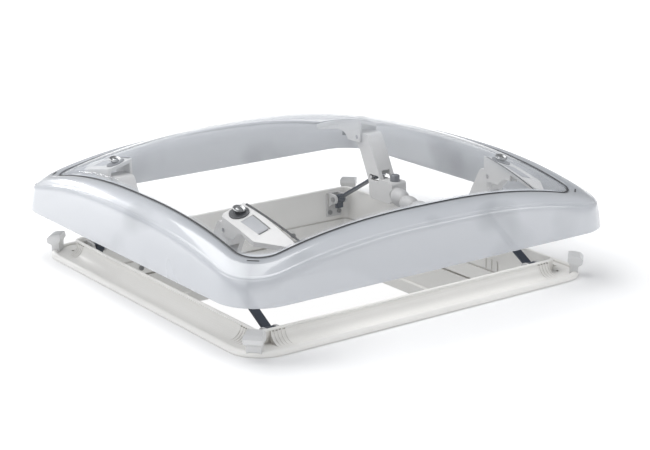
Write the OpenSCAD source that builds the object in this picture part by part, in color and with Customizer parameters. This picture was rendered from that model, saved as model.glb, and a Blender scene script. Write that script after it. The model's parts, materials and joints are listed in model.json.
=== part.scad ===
// Raised roof vent: a square outer frame with its skirt, a ceiling frame below it, and a domed
// cover that four stays carry straight up and down.
// +Z is up, z = 0 is the roof surface, and the origin is the centre of the roof opening.

/* [Roof opening] */
// Side of the square hole in the roof
opening = 400; // [330:1:500]
// Gap between the skirt and the edge of the hole, each side
opening_gap = 3.5; // [2:0.5:6]

/* [Outer frame] */
// Thickness of the skirt and upstand wall
wall_t = 3; // [2.5:0.5:4]
// Plan radius of the skirt's outer corners
corner_r = 10; // [8:0.5:14]
// Overhang of the roof flange beyond the skirt
flange_w = 28.5; // [26:0.5:36]
// Thickness of the roof flange
flange_t = 4; // [3:0.5:5]
// Height of the rounded bead along the flange's edge
bead_h = 6.5; // [5.5:0.5:8]
// Width of that bead
bead_w = 7; // [5:0.5:8]
// Height of the upstand wall above the roof
upstand_h = 16.5; // [14:0.5:22]
// Foot of the hollow cove outside the upstand
cove_w = 16; // [12:0.5:18]
// Depth of the skirt below the roof
skirt_d = 41; // [34:1:50]
// Depth of the net groove below the roof
groove_d = 23; // [20:1:27]

/* [Ceiling frame] */
// Depth of the ceiling frame's lower edge below the roof
ceiling_d = 91; // [80:1:110]
// Overhang of the ceiling flange beyond the skirt
ceiling_flange_w = 32; // [24:1:40]
// Thickness of the ceiling flange
ceiling_flange_t = 4; // [3:0.5:5]
// Wall of the sleeve that slides over the skirt
sleeve_t = 2.2; // [1.8:0.1:2.6]
// Height of the band along the ceiling frame's lower edge
band_h = 16; // [10:1:20]

/* [Dome] */
// Overhang of the dome's rim beyond the roof opening
dome_over = 43; // [40:1:50]
// Plan radius of the rim's corners
dome_r = 46; // [42:1:54]
// Height of the rim above the roof with the dome raised
rim_z = 57.5; // [57:0.5:62]
// Height of the crown above the rim
crown_rise = 101; // [94:0.5:108]
// Fall of the crown from its top to the middle of each side
crown_fall = 55.5; // [48:0.1:58]
// How flat the crown stays before it falls
crown_power = 2.27; // [2:0.01:2.5]
// How far the corners are lifted against the fall
corner_lift = 25.8; // [20:0.1:28]
// Thickness of the dome
dome_t = 3; // [2.5:0.5:4]
// Inset of the shoulder from the rim
shoulder_in = 5; // [4:0.5:7]
// Swell of the surround between pane and shoulder
band_rise = 3.6; // [0:0.2:4]
// Inset of the clear pane's edge from the rim
window_in = 30.5; // [28:0.5:34]
// Plan radius of the pane's corners
window_r = 33; // [26:1:38]
// Width of the dark seal round the pane
seal_w = 2.4; // [1.6:0.2:3.2]

/* [Stays] */
// Distance of the stays' plane from the inner wall
stay_in = 20.5; // [20:0.5:24]
// Distance of the links' pivot from the inner wall
pivot_in = 13.5; // [12:0.5:18]
// Height of the links' pivot above the roof
pivot_z = 8.5; // [8:0.5:12]
// Length of a link between its pins
link_l = 95; // [79:0.2:100]
// Slope of the links with the dome raised
link_slope = 30; // [26:0.5:31]
// Travel of the dome from closed to raised
lift = 55; // [50:1:55]
// Width of a link
link_w = 10; // [8:0.2:13]
// Width of an arm
arm_w = 22; // [20:0.5:28]
// Thickness of a link
link_t = 2.6; // [2:0.2:3.2]
// Radius of the links' pins
pin_r = 2; // [1.8:0.1:2.4]
// Running clearance round a pin
pin_play = 0.05; // [0.02:0.01:0.09]
// Clearance of an elbow pin above and below, in its slot
slot_play = 1.3; // [1.2:0.1:1.6]
// Side clearance of a link between its cheeks
side_play = 1; // [0.6:0.1:1.4]
// Thickness of the cheeks of arms, clevises and brackets
cheek_t = 3; // [2.5:0.5:4]

/* [Grips] */
// Pitch of the finger ridges
ridge_pitch = 22; // [18:1:26]
// Radius of a grip's core
grip_r = 7.5; // [6:0.5:9]
// Radius of a finger ridge
ridge_r = 11; // [10:0.5:12]
// Sag of a grip at its middle
grip_sag = 12; // [6:1:16]
// Radius of a release button
button_r = 6; // [5:0.5:6.5]
// Stroke of a release button
button_stroke = 4; // [3:0.5:5]

/* [Hidden] */
$fn = 48;
ARC = 9;       // steps round each corner of the dome
SIDE = 12;     // steps along each side of the dome
touch = 0.2;   // gap left between pieces that only rest on each other
skirt_half = opening / 2 - opening_gap;
inner_half = skirt_half - wall_t;
flange_half = skirt_half + flange_w;
trim_h = 2;
rib_pitch = 4;               // ribs at the ends of each cove
rib_count = 4;
rib_w = 1.4;
wall_rib_s = inner_half - 113;
cove_end = skirt_half - 30;
clamp_s = [-110, 0, 110];
sleeve_gap = 0.4;
clevis_plate_t = 3;
clevis_low = -17;
clevis_r = 6;
clevis_screw_x = [-7, 7];
clevis_screw_z = -11;
screw_at = skirt_half + 0.5;
post_at = skirt_half + 14.5;
post_top = 26;
screw_hole_r = 2;
dome_half = opening / 2 + dome_over;
shoulder_half = dome_half - shoulder_in;
shoulder_r = dome_r - shoulder_in + 3;
window_half = dome_half - window_in;
seal_edge = corner_of(window_half + seal_w / 2, window_r);
stop_at = post_at - 2;       // middle of a corner stop, each way
stop_share = (stop_at - seal_edge) / (corner_of(shoulder_half, shoulder_r) - seal_edge);
window_steps = [1, 0.86, 0.72, 0.58, 0.45, 0.32, 0.2, 0.09];
side_steps = [[0.28, 0.05], [0.48, 0.16], [0.64, 0.36], [0.8, 0.62], [0.95, 0.9]];
stay_x = inner_half - stay_in;
pivot_s = inner_half - pivot_in;
elbow_s = pivot_s - link_l * cos(link_slope);
elbow_z = pivot_z + link_l * sin(link_slope);
elbow_travel = link_l * (1 - cos(link_slope));
channel_w = link_w + 2 * side_play;
clevis_w = channel_w + 2 * cheek_t;
bracket_w = arm_w + 2 * cheek_t + 1;
disc_s = elbow_s + 31;
foot_in = elbow_s - 42;      // inner face of an arm's foot
foot_bottom = elbow_z - 27;
pad_t = 2;                   // rubber between a bracket and the dome
plate_t = 5;                 // top plate of a bracket
arm_out = elbow_s + 36;      // outer end of an arm's head
arm_top = crown(stay_x + arm_w / 2, arm_out) - dome_t - pad_t - plate_t - 1.2;
box_in = disc_s - 13;         // inner end of a bracket's box
box_out = disc_s + 48;
tail_s = window_half - seal_w - 1;
arm_pin_s = disc_s - 7;
arm_pin_z = arm_top - 6;
arm_pin_r = 2.5;
link_hub_r = pin_r + 3.5;
link_eye_r = pin_r + 2;
disc_r = 10.5;
grip_z = elbow_z - 12;
button_s = foot_in + 8;
button_top = elbow_z + 8;
button_h = 12;
spring_low = button_top - button_stroke - 14;
stay_tilt = atan((crown(stay_x - 5, disc_s) - crown(stay_x + 5, disc_s)) / 10);
disc_pitch = atan((crown(stay_x, disc_s - 5) - crown(stay_x, disc_s + 5)) / 10);

// ---- shared geometry ----

// Height of the dome's outer surface over a point, with the dome raised
function crown(x, y) =
    rim_z + crown_rise
    - crown_fall * (pow(abs(x) / dome_half, crown_power) + pow(abs(y) / dome_half, crown_power))
    + corner_lift * pow(x * y / (dome_half * dome_half), 2);

function quarter_turn(p, q) =
    q == 0 ? p : quarter_turn([-p[1], p[0]], q - 1);

// How far out, each way, a rounded square's corner comes
function corner_of(half, r) = half - r * (1 - sqrt(0.5));

// Rounded square, counter-clockwise, always with the same number of points
function outline(h, r) = [
    for (q = [0:3]) for (j = [0:ARC + SIDE - 1])
        quarter_turn(j <= ARC
            ? [h - r + r * cos(90 * j / ARC), h - r + r * sin(90 * j / ARC)]
            : [(h - r) * (1 - 2 * (j - ARC) / SIDE), h], q)];

// Ring of points on the crown, lowered by drop
function crown_ring(h, r, drop) = [for (p = outline(h, r)) [p[0], p[1], crown(p[0], p[1]) - drop]];

// Ring of points on the side wall, a share f of the way from the shoulder to the rim
function side_ring(h, r, f) =
    let (o = outline(h, r), s = outline(shoulder_half, shoulder_r))
    [for (i = [0:len(o) - 1]) [o[i][0], o[i][1], (1 - f) * crown(s[i][0], s[i][1]) + f * rim_z]];

function flat_list(rings) = [for (r = rings) for (p = r) p];

// Solid whose section is a closed loop of rings
module ring_solid(rings) {
    n = len(rings[0]);
    m = len(rings);
    polyhedron(points = flat_list(rings), faces = [
        for (i = [0:m - 1]) for (j = [0:n - 1])
            let (a = i * n, b = ((i + 1) % m) * n, k = (j + 1) % n)
            each [[a + j, a + k, b + k], [a + j, b + k, b + j]]]);
}

// Solid between an outer and an inner cap, each a list of rings from the middle outwards
module cap_solid(outer_rings, inner_rings, outer_mid, inner_mid) {
    rings = concat(outer_rings, [for (i = [len(inner_rings) - 1:-1:0]) inner_rings[i]]);
    n = len(rings[0]);
    m = len(rings);
    top = m * n;
    polyhedron(points = concat(flat_list(rings), [outer_mid, inner_mid]), faces = concat(
        [for (i = [0:m - 2]) for (j = [0:n - 1])
            let (a = i * n, b = (i + 1) * n, k = (j + 1) % n)
            each [[a + j, a + k, b + k], [a + j, b + k, b + j]]],
        [for (j = [0:n - 1]) [top, (j + 1) % n, j]],
        [for (j = [0:n - 1]) let (a = (m - 1) * n) [top + 1, a + j, a + (j + 1) % n]]));
}

// Sweeps a section (x outwards from the path, y up) round a rounded square
module square_sweep(half, r) {
    run = 2 * (half - r);
    for (q = [0:3]) rotate([0, 0, 90 * q]) {
        translate([0, run / 2, 0]) rotate([90, 0, 0]) linear_extrude(run) translate([half, 0]) children();
        translate([half - r, half - r, 0]) rotate_extrude(angle = 90) translate([r, 0]) children();
    }
}

// Extrudes a section (x along Y, y up) through a slab centred on x
module across(x, w) {
    translate([x - w / 2, 0, 0]) rotate([90, 0, 90]) linear_extrude(w) children();
}

// Cylinder along X, centred on [x, s, z]
module rod_x(x, s, z, r, w) {
    translate([x - w / 2, s, z]) rotate([0, 90, 0]) cylinder(r = r, h = w);
}

// The corner at +X +Y, mirrored to the corner that side_x and side_y name
module at_corner(side_x, side_y) {
    mirror([side_x < 0 ? 1 : 0, 0, 0]) mirror([0, side_y < 0 ? 1 : 0, 0]) children();
}

module at_corners() {
    for (side_x = [-1, 1], side_y = [-1, 1]) at_corner(side_x, side_y) children();
}

// ---- fixed frame ----

module flange_section() {
    polygon(concat(
        [[-wall_t, -skirt_d], [0, -skirt_d], [0, 0], [flange_w - 1, 0], [flange_w, 1]],
        [for (a = [0:15:90]) [flange_w - bead_w / 2 + bead_w / 2 * cos(a), bead_h - 3 + 3 * sin(a)]],
        [for (a = [105:15:180]) [flange_w - bead_w / 2 + bead_w / 2 * cos(a),
            flange_t + (bead_h - flange_t) * sin(a)]],
        [[0, flange_t], [0, upstand_h], [-wall_t, upstand_h],
         [-wall_t, -groove_d + 1], [-wall_t + 1, -groove_d + 1],
         [-wall_t + 1, -groove_d - 1], [-wall_t, -groove_d - 1]]));
}

// Hollow face between upstand and flange, set back by inset
module cove_section(inset) {
    foot = cove_w - inset;
    high = upstand_h - inset;
    polygon(concat(
        [[-0.5, flange_t - 0.5], [foot, flange_t - 0.5]],
        [for (a = [0:10:90]) [foot - (foot - 1.5) * sin(a), flange_t + (high - flange_t) * (1 - cos(a))]],
        [[-0.5, high]]));
}

module cove_run(from, to, inset = 0) {
    translate([0, to, 0]) rotate([90, 0, 0]) linear_extrude(to - from)
        translate([skirt_half, 0]) cove_section(inset);
}

module outer_frame() color("ivory") difference() {
    union() {
        square_sweep(skirt_half, corner_r) flange_section();
        for (q = [0:3]) rotate([0, 0, 90 * q]) {
            cove_run(-cove_end, cove_end);
            cove_run(-cove_end - rib_count * rib_pitch, cove_end + rib_count * rib_pitch, 1.2);
            for (side = [-1, 1], k = [1:rib_count])
                translate([0, side * (cove_end + k * rib_pitch), 0]) cove_run(-rib_w / 2, rib_w / 2);
        }
        at_corners() for (k = [0:2]) translate([inner_half - 1, wall_rib_s + 10 * k, -21]) cube([2, 2.4, 12]);
    }
    at_corners() translate([screw_at, screw_at, -1]) cylinder(r = screw_hole_r, h = flange_t + 2);
    at_corners() for (dx = clevis_screw_x)
        translate([stay_x + dx, inner_half - 1, clevis_screw_z]) rotate([-90, 0, 0])
            cylinder(r = 1.6, h = wall_t + 2);
    for (q = [0:3], s = clamp_s) rotate([0, 0, 90 * q])
        translate([inner_half - 1, s, -skirt_d + 8]) rotate([0, 90, 0]) cylinder(r = 1.6, h = wall_t + 2);
}

module ceiling_section() {
    out = sleeve_gap + sleeve_t;
    polygon([
        [-wall_t - 2, -ceiling_d], [ceiling_flange_w - 1, -ceiling_d], [ceiling_flange_w, -ceiling_d + 1],
        [ceiling_flange_w, -ceiling_d + ceiling_flange_t + 2],
        [ceiling_flange_w - 2, -ceiling_d + ceiling_flange_t + 2],
        [ceiling_flange_w - 2, -ceiling_d + ceiling_flange_t], [out, -ceiling_d + ceiling_flange_t],
        [out, -skirt_d + 18], [sleeve_gap, -skirt_d + 18], [sleeve_gap, -skirt_d - 2.4],
        [-wall_t, -skirt_d - 2.4], [-wall_t, -ceiling_d + band_h], [-wall_t - 2, -ceiling_d + band_h - 2]]);
}

module ceiling_frame() color("whitesmoke") difference() {
    square_sweep(skirt_half, corner_r) ceiling_section();
    for (q = [0:3], s = clamp_s) rotate([0, 0, 90 * q])
        translate([skirt_half, s, -skirt_d + 8]) rotate([0, 90, 0]) cylinder(r = 1.55, h = 6);
}

module upstand_trim() color("ivory")
    square_sweep(skirt_half, corner_r) polygon([
        [-wall_t, upstand_h], [0.6, upstand_h], [0.6, upstand_h + trim_h - 0.8],
        [-0.2, upstand_h + trim_h], [-wall_t + 0.8, upstand_h + trim_h], [-wall_t, upstand_h + trim_h - 0.8]]);

// Lug on the flange's corner, with a flared head whose top slopes down outwards
module corner_post() color("lightgray") difference() {
    translate([post_at, post_at, 0]) rotate([0, 0, 45]) intersection() {
        translate([-15, 0, 0]) rotate([90, 0, 90]) linear_extrude(30) polygon([
            [-7.5, flange_t], [7.5, flange_t], [8, post_top - 14], [10, post_top - 11],
            [10, post_top - 4], [8.5, post_top - 1.2], [5.5, post_top], [-5.5, post_top],
            [-8.5, post_top - 1.2], [-10, post_top - 4], [-10, post_top - 11], [-8, post_top - 14]]);
        translate([0, 15, 0]) rotate([90, 0, 0]) linear_extrude(30) polygon([
            [-6, flange_t], [3, flange_t], [3.5, post_top - 14], [7.5, post_top - 11], [8.5, post_top - 6],
            [5, post_top - 2.5], [-6, post_top], [-8, post_top - 1], [-8.5, post_top - 8], [-6, post_top - 11]]);
    }
    square_sweep(skirt_half, corner_r) flange_section();
}

module link_clevis() color("white") difference() {
    union() {
        translate([stay_x - clevis_w / 2 - 2, inner_half - clevis_plate_t, clevis_low])
            cube([clevis_w + 4, clevis_plate_t - touch, pivot_z - clevis_low + clevis_r]);
        for (side = [-1, 1]) across(stay_x + side * (channel_w + cheek_t) / 2, cheek_t) union() {
            translate([pivot_s, pivot_z]) circle(r = clevis_r);
            translate([pivot_s, pivot_z - clevis_r]) square([pivot_in - 1, 2 * clevis_r]);
            polygon([[inner_half - 1, clevis_low + 12], [inner_half - 1, pivot_z - clevis_r + 1],
                [pivot_s, pivot_z - clevis_r + 1]]);
        }
    }
    rod_x(stay_x, pivot_s, pivot_z, pin_r, clevis_w + 4);
    for (dx = clevis_screw_x) translate([stay_x + dx, inner_half - 5, clevis_screw_z]) rotate([-90, 0, 0])
        cylinder(r = 1.6, h = 8);
}

module clevis_pins() color("silver") at_corners() {
    rod_x(stay_x, pivot_s, pivot_z, pin_r, clevis_w + 2);
    for (side = [-1, 1]) rod_x(stay_x + side * (clevis_w / 2 + 1), pivot_s, pivot_z, pin_r + 1.2, 1.4);
}

// Pan-head screw along +Z, its head's underside at the origin and its shank above
module pan_screw(shank_r, shank_l, head_r, head_h) {
    cylinder(r = shank_r, h = shank_l);
    difference() {
        translate([0, 0, -head_h]) cylinder(r = head_r, h = head_h);
        for (a = [0, 90]) rotate([0, 0, a]) translate([-head_r * 0.6, -0.5, -head_h - 1])
            cube([head_r * 1.2, 1, 1 + head_h * 0.5]);
    }
}

module clevis_screws() color("silver") at_corners() for (dx = clevis_screw_x)
    translate([stay_x + dx, inner_half - clevis_plate_t, clevis_screw_z]) rotate([-90, 0, 0])
        pan_screw(1.5, clevis_plate_t + wall_t + 1.5, 3, 1.8);

module clamp_screws() color("silver") for (q = [0:3], s = clamp_s) rotate([0, 0, 90 * q])
    translate([inner_half, s, -skirt_d + 8]) rotate([0, 90, 0])
        pan_screw(1.5, wall_t + sleeve_gap + sleeve_t, 3, 1.8);

// ---- dome ----

module dome_surround() color("lightsteelblue", 0.7) {
    outer = concat(
        [for (f = [0:0.25:1]) let (h = window_half + seal_w / 2 + f * (shoulder_half - window_half - seal_w / 2))
            crown_ring(h, window_r + f * (shoulder_r - window_r), -band_rise * sin(180 * f))],
        [for (s = side_steps) let (out = s[0] * shoulder_in) side_ring(shoulder_half + out, shoulder_r + out * 0.6, s[1])],
        [side_ring(dome_half, dome_r, 1)]);
    inner = concat(
        [side_ring(dome_half - dome_t, dome_r - dome_t, 1)],
        [for (i = [len(side_steps) - 1:-1:0]) let (s = side_steps[i], out = s[0] * shoulder_in - dome_t)
            side_ring(shoulder_half + out, shoulder_r + s[0] * shoulder_in * 0.6 - dome_t, s[1] + 0.02)],
        [for (f = [1:-0.25:0]) let (h = window_half + seal_w / 2
                + f * (shoulder_half - window_half - seal_w / 2 - dome_t))
            crown_ring(h, window_r + f * (shoulder_r - window_r - dome_t), dome_t - band_rise * sin(180 * f))]);
    ring_solid(concat(outer, inner));
}

function pane_rings(drop) = [for (i = [len(window_steps) - 1:-1:0])
    crown_ring((window_half - seal_w / 2) * window_steps[i], (window_r - seal_w / 2) * window_steps[i], drop)];

module dome_pane() color("aliceblue", 0.35)
    cap_solid(pane_rings(0), pane_rings(dome_t), [0, 0, crown(0, 0)], [0, 0, crown(0, 0) - dome_t]);

module pane_seal() color([0.12, 0.13, 0.15])
    ring_solid([
        crown_ring(window_half - seal_w / 2, window_r - seal_w / 2, -0.3),
        crown_ring(window_half + seal_w / 2, window_r, -0.3),
        crown_ring(window_half + seal_w / 2, window_r, dome_t + 0.3),
        crown_ring(window_half - seal_w / 2, window_r - seal_w / 2, dome_t + 0.3)]);

// Slab under the dome that follows its fall along Y and leans with it along X
module under_dome(drop, depth, from, to, x, w) {
    z0 = crown(x, disc_s);
    steps = 8;
    s = [for (i = [0:steps]) from + (to - from) * i / steps];
    function flat_z(v) = (crown(x, v) - dome_t - drop - z0) * cos(stay_tilt);
    translate([x, 0, z0]) rotate([0, stay_tilt, 0]) across(0, w) polygon(concat(
        [for (v = s) [v, flat_z(v)]],
        [for (i = [steps:-1:0]) [s[i], flat_z(s[i]) - depth]]));
}

module bracket_plan(grow) {
    half = bracket_w / 2 + grow;
    translate([stay_x, 0]) polygon([
        [-half, box_in - grow], [half - 4, box_in - grow], [half, box_in + 4 - grow], [half, box_out],
        [-half + 6 + 2 * grow, tail_s + grow], [-half, tail_s - 2 + grow]]);
}

module dome_bracket() color("white") difference() {
    intersection() {
        under_dome(pad_t, 60, box_in - 5, tail_s + 5, stay_x, bracket_w * 1.6);
        union() {
            translate([0, 0, arm_pin_z - 6]) linear_extrude(100) intersection() {
                bracket_plan(0);
                translate([stay_x - 50, box_in - 5]) square([100, box_out - box_in - 12]);
            }
            intersection() {
                linear_extrude(400) bracket_plan(0);
                under_dome(pad_t, plate_t, box_in - 5, tail_s + 5, stay_x, bracket_w * 1.6);
            }
        }
    }
    intersection() {
        under_dome(pad_t + plate_t - 1, 60, box_in - 5, tail_s, stay_x, bracket_w * 1.6);
        translate([stay_x - bracket_w / 2 + cheek_t, box_in - 1, 0])
            cube([bracket_w - 2 * cheek_t, box_out - box_in - 14, 400]);
    }
    intersection() {
        under_dome(pad_t - 5, 7, disc_s + disc_r + 2, box_out - 4, stay_x, 18);
        translate([stay_x - 9, disc_s, 0]) cube([18, 100, 400]);
    }
    rod_x(stay_x, disc_s + 26, arm_pin_z - 13, 16, bracket_w + 20);
    rod_x(stay_x, arm_pin_s, arm_pin_z, arm_pin_r, bracket_w + 2);
    disc_frame() translate([0, 0, -12]) cylinder(r = 2.1, h = 14);
}

// Origin under the dome at a bracket's screw, +Z square to the dome
module disc_frame() {
    translate([stay_x, disc_s, crown(stay_x, disc_s) - dome_t]) rotate([-disc_pitch, stay_tilt, 0]) children();
}

module bracket_strips() color([0.1, 0.1, 0.12]) at_corners()
    under_dome(1.15, 0.4, disc_s - 8, tail_s, stay_x - bracket_w / 2 + 1.4, 2.4);

module bracket_pads() color([0.1, 0.1, 0.12]) at_corners() disc_frame() difference() {
    translate([0, 0, 0.1 - pad_t]) cylinder(r = disc_r, h = pad_t - 0.9);
    translate([0, 0, -pad_t - 1]) cylinder(r = 3.2, h = pad_t + 2);
}

module dome_screws() color("silver") at_corners() disc_frame()
    translate([0, 0, dome_t + 0.5]) rotate([180, 0, 0]) pan_screw(2, dome_t + 10, 4.5, 2);

// Stops over the posts, each with a thin key that comes up through the dome
module corner_bumpers() color([0.1, 0.1, 0.12]) at_corners() {
    bottom = post_top + lift + 0.4;
    top = crown(stop_at, stop_at) + band_rise * sin(180 * stop_share);
    translate([stop_at, stop_at, bottom]) rotate([0, 0, 45]) {
        translate([-2.5, -7, 0]) cube([5, 14, top - dome_t - 1.3 - bottom]);
        translate([-0.8, -6, 0]) cube([1.6, 12, top + 0.3 - bottom]);
    }
}

// ---- arms and grips ----

module arm_section() {
    s = elbow_s;
    z = elbow_z;
    polygon([
        [s + 6, arm_top - 3], [s + 9, arm_top], [arm_out - 3, arm_top], [arm_out, arm_top - 3],
        [s + 27, z + 34], [s + 23, z + 31], [s + 7.5, z], [s + 4, z - 8], [s + 3, z - 22], [s - 1, foot_bottom],
        [foot_in + 6, foot_bottom], [foot_in, foot_bottom + 5], [foot_in, z - 2], [foot_in + 2, z],
        [s - 20, z], [s - 4, z + 31], [s - 2, z + 34]]);
}

module arm() color("whitesmoke") difference() {
    across(stay_x, arm_w) arm_section();
    across(stay_x, channel_w) polygon([
        [elbow_s - elbow_travel - pin_r - 5, elbow_z - 14], [elbow_s + 60, elbow_z - 14],
        [elbow_s + 60, elbow_z + 28], [elbow_s + 8, elbow_z + 28], [elbow_s - elbow_travel - pin_r - 5, elbow_z + 6]]);
    across(stay_x, arm_w + 2) union() {
        r = pin_r + slot_play;
        translate([elbow_s - elbow_travel, elbow_z]) circle(r = r);
        translate([elbow_s, elbow_z]) circle(r = r);
        translate([elbow_s - elbow_travel, elbow_z - r]) square([elbow_travel, 2 * r]);
    }
    rod_x(stay_x, arm_pin_s, arm_pin_z, arm_pin_r, arm_w + 2);
    translate([stay_x, button_s, button_top - button_stroke - 14]) cylinder(r = button_r + pin_play, h = 40);
}

module arm_pins() color("silver") at_corners() rod_x(stay_x, arm_pin_s, arm_pin_z, arm_pin_r, bracket_w);

// Grip between the two arms of one side, on a shallow arc that sags down and inwards
module grip() color("gainsboro") {
    chord = foot_in - touch;
    arc_r = (chord * chord + grip_sag * grip_sag) / (2 * grip_sag);
    half_angle = asin(chord / arc_r);
    ridge_angle = ridge_pitch / arc_r * 180 / PI;
    ridges = floor((2 * half_angle - ridge_angle) / ridge_angle);
    end_t = 4;
    intersection() {
        translate([stay_x, 0, grip_z]) rotate([0, 40, 0]) translate([0, 0, arc_r - grip_sag]) union() {
            rotate([0, 90, 0]) rotate([0, 0, -half_angle - 5]) rotate_extrude(angle = 2 * half_angle + 10, $fn = 96)
                translate([arc_r, 0]) circle(r = grip_r);
            for (k = [0:ridges - 1]) rotate([(k - (ridges - 1) / 2) * ridge_angle, 0, 0])
                translate([0, 0, -arc_r]) rotate([90, 0, 0]) rotate_extrude() ridge_half();
        }
        translate([0, -chord + 2, 0]) cube([2 * dome_half, 2 * chord - 4, 400]);
    }
    for (side = [-1, 1]) translate([stay_x, side * (chord - end_t / 2), grip_z]) rotate([90, 0, 0])
        translate([0, 0, -end_t / 2]) cylinder(r = arm_w / 2 - 0.5, h = end_t);
}

module ridge_half() {
    half = ridge_pitch * 0.42;
    polygon(concat([[0, -half]], [for (a = [-90:15:90]) [grip_r - 1 + (ridge_r - grip_r + 1) * cos(a), half * sin(a)]],
        [[0, half]]));
}

module link() color([0.22, 0.25, 0.29]) {
    difference() {
        union() {
            rod_x(stay_x, pivot_s, pivot_z, link_hub_r, link_w);
            rod_x(stay_x, elbow_s, elbow_z, link_eye_r, link_w);
            translate([stay_x, pivot_s, pivot_z]) rotate([-link_slope, 0, 0])
                translate([-link_w / 2, 1 - link_l + pin_r, -link_t / 2])
                cube([link_w, link_l - 2 - 2 * pin_r, link_t]);
            translate([stay_x - link_w / 2, pivot_s - 2, pivot_z - 12]) cube([link_w, 4, 12 - link_hub_r + 1.5]);
        }
        rod_x(stay_x, pivot_s, pivot_z, pin_r + pin_play, link_w + 2);
        rod_x(stay_x, elbow_s, elbow_z, pin_r, link_w + 2);
    }
}

module elbow_pin() color("silver") rod_x(stay_x, elbow_s, elbow_z, pin_r, arm_w);

module button() color([0.3, 0.31, 0.34]) {
    translate([stay_x, button_s, button_top - button_h]) {
        rotate_extrude() polygon(concat([[0, 0], [button_r, 0]],
            [for (a = [0:15:90]) [button_r - 2 + 2 * cos(a), button_h - 2 + 2 * sin(a)]], [[0, button_h]]));
    }
}

module spring() color("silver") {
    high = button_top - button_h - 0.1;
    translate([stay_x, button_s, spring_low]) rotate_extrude() polygon(concat(
        [[2.4, 0], [3.6, 0]],
        [for (k = [0:3]) each [[4.4, (k + 0.5) / 4 * (high - spring_low)], [3.6, (k + 1) / 4 * (high - spring_low)]]],
        [[2.4, high - spring_low]],
        [for (k = [3:-1:0]) each [[3.2, (k + 0.5) / 4 * (high - spring_low)], [2.4, k / 4 * (high - spring_low) + 0.01]]]));
}

outer_frame();
ceiling_frame();
upstand_trim();
at_corner(-1, -1) corner_post();  // corner_post_front_left
at_corner(1, -1) corner_post();  // corner_post_front_right
at_corner(-1, 1) corner_post();  // corner_post_back_left
at_corner(1, 1) corner_post();  // corner_post_back_right
at_corner(-1, -1) link_clevis();  // link_clevis_front_left
at_corner(1, -1) link_clevis();  // link_clevis_front_right
at_corner(-1, 1) link_clevis();  // link_clevis_back_left
at_corner(1, 1) link_clevis();  // link_clevis_back_right
clevis_pins();
clevis_screws();
clamp_screws();
dome_surround();
dome_pane();
pane_seal();
at_corner(-1, -1) dome_bracket();  // dome_bracket_front_left
at_corner(1, -1) dome_bracket();  // dome_bracket_front_right
at_corner(-1, 1) dome_bracket();  // dome_bracket_back_left
at_corner(1, 1) dome_bracket();  // dome_bracket_back_right
bracket_strips();
bracket_pads();
dome_screws();
corner_bumpers();
arm_pins();
at_corner(-1, -1) arm();  // arm_front_left
at_corner(1, -1) arm();  // arm_front_right
at_corner(-1, 1) arm();  // arm_back_left
at_corner(1, 1) arm();  // arm_back_right
at_corner(-1, 1) grip();  // grip_left
at_corner(1, 1) grip();  // grip_right
at_corner(-1, -1) link();  // link_front_left
at_corner(1, -1) link();  // link_front_right
at_corner(-1, 1) link();  // link_back_left
at_corner(1, 1) link();  // link_back_right
at_corner(-1, -1) elbow_pin();  // elbow_pin_front_left
at_corner(1, -1) elbow_pin();  // elbow_pin_front_right
at_corner(-1, 1) elbow_pin();  // elbow_pin_back_left
at_corner(1, 1) elbow_pin();  // elbow_pin_back_right
at_corner(-1, -1) button();  // button_front_left
at_corner(1, -1) button();  // button_front_right
at_corner(-1, 1) button();  // button_back_left
at_corner(1, 1) button();  // button_back_right
at_corner(-1, -1) spring();  // spring_front_left
at_corner(1, -1) spring();  // spring_front_right
at_corner(-1, 1) spring();  // spring_back_left
at_corner(1, 1) spring();  // spring_back_right
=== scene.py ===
"""A raised roof vent: the moulded frame, its domed cover on four folding stays, and the studio round it."""
import json
import logging
import math
from collections.abc import Callable, Sequence
from dataclasses import dataclass, field
from enum import Enum

import bmesh
import bpy
from mathutils import Matrix, Quaternion, Vector

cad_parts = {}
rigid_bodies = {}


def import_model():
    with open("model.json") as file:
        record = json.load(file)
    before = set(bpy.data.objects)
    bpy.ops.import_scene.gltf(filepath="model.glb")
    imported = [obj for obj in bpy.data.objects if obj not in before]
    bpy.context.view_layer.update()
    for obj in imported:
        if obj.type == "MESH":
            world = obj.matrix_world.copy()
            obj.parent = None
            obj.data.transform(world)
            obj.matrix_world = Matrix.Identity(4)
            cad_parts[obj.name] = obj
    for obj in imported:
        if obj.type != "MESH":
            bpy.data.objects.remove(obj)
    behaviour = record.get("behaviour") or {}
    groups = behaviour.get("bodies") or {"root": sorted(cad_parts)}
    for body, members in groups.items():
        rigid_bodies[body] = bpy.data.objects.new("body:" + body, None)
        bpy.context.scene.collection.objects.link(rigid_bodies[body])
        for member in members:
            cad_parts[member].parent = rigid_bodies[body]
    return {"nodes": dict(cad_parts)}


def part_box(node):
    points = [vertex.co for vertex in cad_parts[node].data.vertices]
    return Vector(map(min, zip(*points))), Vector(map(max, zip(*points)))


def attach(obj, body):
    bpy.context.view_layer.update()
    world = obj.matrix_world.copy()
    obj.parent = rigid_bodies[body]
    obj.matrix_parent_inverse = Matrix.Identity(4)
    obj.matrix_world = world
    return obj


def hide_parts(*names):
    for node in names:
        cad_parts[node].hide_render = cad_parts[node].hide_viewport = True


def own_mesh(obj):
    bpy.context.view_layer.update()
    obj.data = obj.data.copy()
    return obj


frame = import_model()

MM = 0.001
WELD = 1e-6
FLAT_ANGLE = math.radians(1.5)
EDGE_ANGLE = math.radians(35)
GROWN_ANGLE = math.radians(40)
TURNED_ANGLE = math.radians(50)
log = logging.getLogger("roof_vent")

Point = tuple[float, float, float]
Colour = tuple[float, float, float]
Span = tuple[float, float]
Ring = list[Point]


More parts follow.
